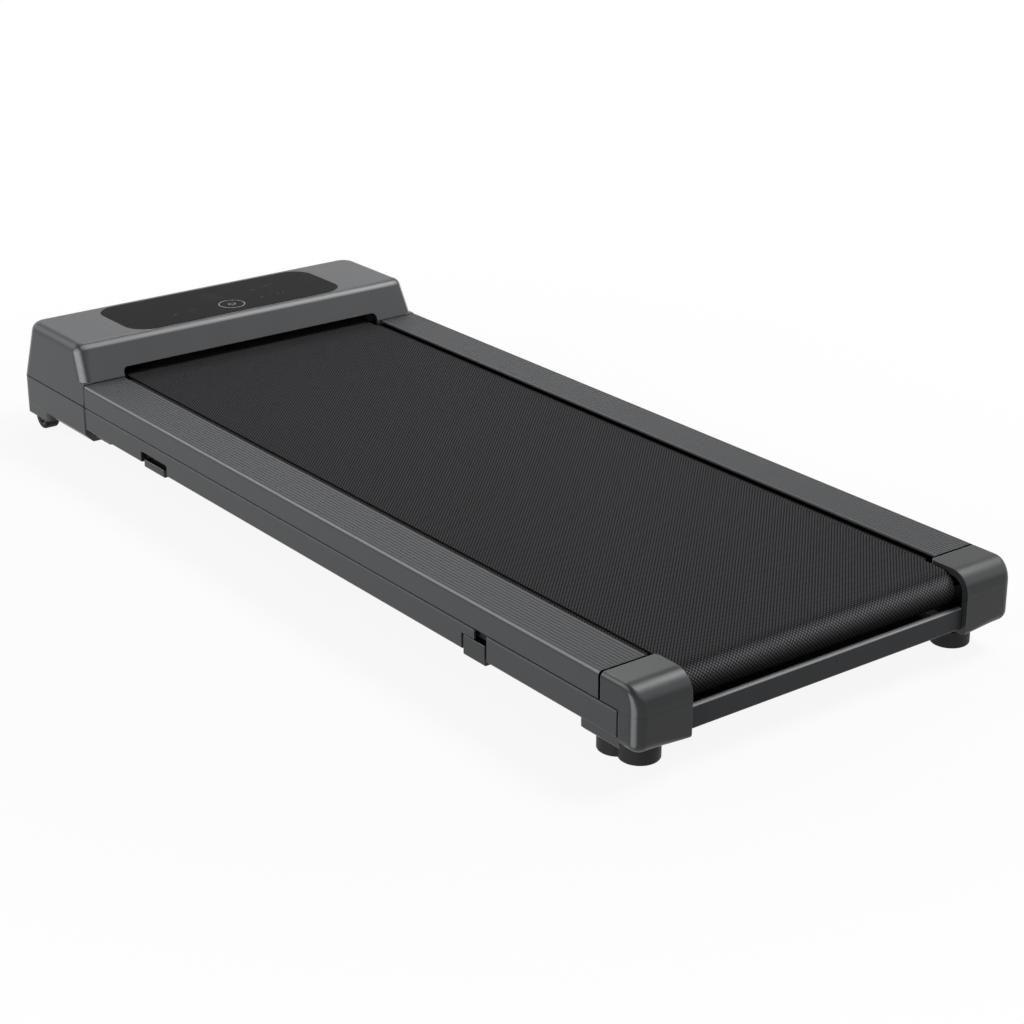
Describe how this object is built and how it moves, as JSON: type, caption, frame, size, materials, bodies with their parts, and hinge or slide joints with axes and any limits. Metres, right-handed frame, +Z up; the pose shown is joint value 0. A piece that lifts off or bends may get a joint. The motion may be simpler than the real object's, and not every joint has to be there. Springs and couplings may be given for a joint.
{
  "type": "walking pad",
  "caption": "Low under-desk walking treadmill: a wide belt between ribbed foot rails, a motor hood with a flush display at one end, rear feet and transport wheels.",
  "frame": {"origin": "middle of the footprint, on the floor that the feet and wheels stand on", "axes": "+X to the walker's right, +Y towards the motor hood, +Z up"},
  "size_m": [0.518, 1.28, 0.1445],
  "materials": {
    "frame_paint": "satin",
    "shell_plastic": "satin, fine grain",
    "black_rubber": "matte",
    "belt_rubber": "matte, fine woven grain",
    "motor_paint": "satin",
    "black_plastic": "matte",
    "tyre_rubber": "matte",
    "bare_steel": "turned",
    "deck_wood": "black laminate",
    "cast_aluminium": "cast",
    "board_laminate": "gloss",
    "capacitor_sleeve": "gloss",
    "button_plastic": "matte",
    "display_gloss": "gloss"
  },
  "bodies": {
    "frame": {"side_frame_left": "frame_paint", "side_frame_right": "frame_paint", "foot_rail_left": "shell_plastic", "foot_rail_right": "shell_plastic", "end_cap_left": "shell_plastic", "end_cap_right": "shell_plastic", "foot_mount_left": "shell_plastic", "foot_mount_right": "shell_plastic", "front_base": "shell_plastic", "motor_cover": "shell_plastic", "foot_left": "black_rubber", "foot_right": "black_rubber", "deck_cushions": "black_rubber", "drive_belt": "black_rubber", "running_belt": "belt_rubber", "front_bracket_left": "frame_paint", "front_bracket_right": "frame_paint", "rear_bracket_left": "frame_paint", "rear_bracket_right": "frame_paint", "crossmembers": "frame_paint", "rear_crossbar": "frame_paint", "motor_plate": "frame_paint", "motor_saddle": "frame_paint", "motor_can": "motor_paint", "wheel_pin_left": "bare_steel", "wheel_pin_right": "bare_steel", "tension_bolts": "bare_steel", "plate_bolts": "bare_steel", "front_clips": "black_plastic", "rear_clips": "black_plastic", "deck_board": "deck_wood", "front_axle": "bare_steel", "rear_axle": "bare_steel", "heat_sink": "cast_aluminium", "control_board": "board_laminate", "display_board": "board_laminate", "capacitors": "capacitor_sleeve", "power_inlet": "black_plastic", "switch_housing": "black_plastic", "breaker_body": "black_plastic", "display_panel": "display_gloss"},
    "front_roller": {"front_roller": "bare_steel", "front_bearings": "bare_steel", "roller_pulley": "cast_aluminium"},
    "rear_roller": {"rear_roller": "bare_steel", "rear_bearings": "bare_steel"},
    "motor_rotor": {"motor_shaft": "bare_steel", "motor_pulley": "cast_aluminium", "motor_fan": "black_plastic"},
    "wheel_left": {"wheel_hub_left": "black_plastic", "wheel_tyre_left": "tyre_rubber"},
    "wheel_right": {"wheel_hub_right": "black_plastic", "wheel_tyre_right": "tyre_rubber"},
    "switch_rocker": {"switch_rocker": "black_plastic"},
    "reset_button": {"reset_button": "button_plastic"}
  },
  "joints": [
    {"name": "front_roller_spin", "type": "hinge", "parent": "frame", "child": "front_roller", "pos_m": [0, 0.513, 0.0744], "axis": [1, 0, 0], "continuous": true},
    {"name": "rear_roller_spin", "type": "hinge", "parent": "frame", "child": "rear_roller", "pos_m": [0, -0.601, 0.0744], "axis": [1, 0, 0], "continuous": true},
    {"name": "motor_spin", "type": "hinge", "parent": "frame", "child": "motor_rotor", "pos_m": [0, 0.587, 0.066], "axis": [1, 0, 0], "continuous": true},
    {"name": "wheel_left_spin", "type": "hinge", "parent": "frame", "child": "wheel_left", "pos_m": [-0.2445, 0.597, 0.0165], "axis": [1, 0, 0], "continuous": true},
    {"name": "wheel_right_spin", "type": "hinge", "parent": "frame", "child": "wheel_right", "pos_m": [0.2445, 0.597, 0.0165], "axis": [1, 0, 0], "continuous": true},
    {"name": "switch_tilt", "type": "hinge", "parent": "frame", "child": "switch_rocker", "pos_m": [-0.113, 0.6326, 0.05], "axis": [1, 0, 0], "range_deg": [-18, 0]},
    {"name": "reset_press", "type": "slide", "parent": "frame", "child": "reset_button", "axis": [0, -1, 0], "range_m": [0, 0.003], "stiffness_N_per_m": 300}
  ],
  "couplings": [
    {"joint": "rear_roller_spin", "follows": "front_roller_spin", "ratio": 1},
    {"joint": "motor_spin", "follows": "front_roller_spin", "ratio": 3.2727}
  ]
}
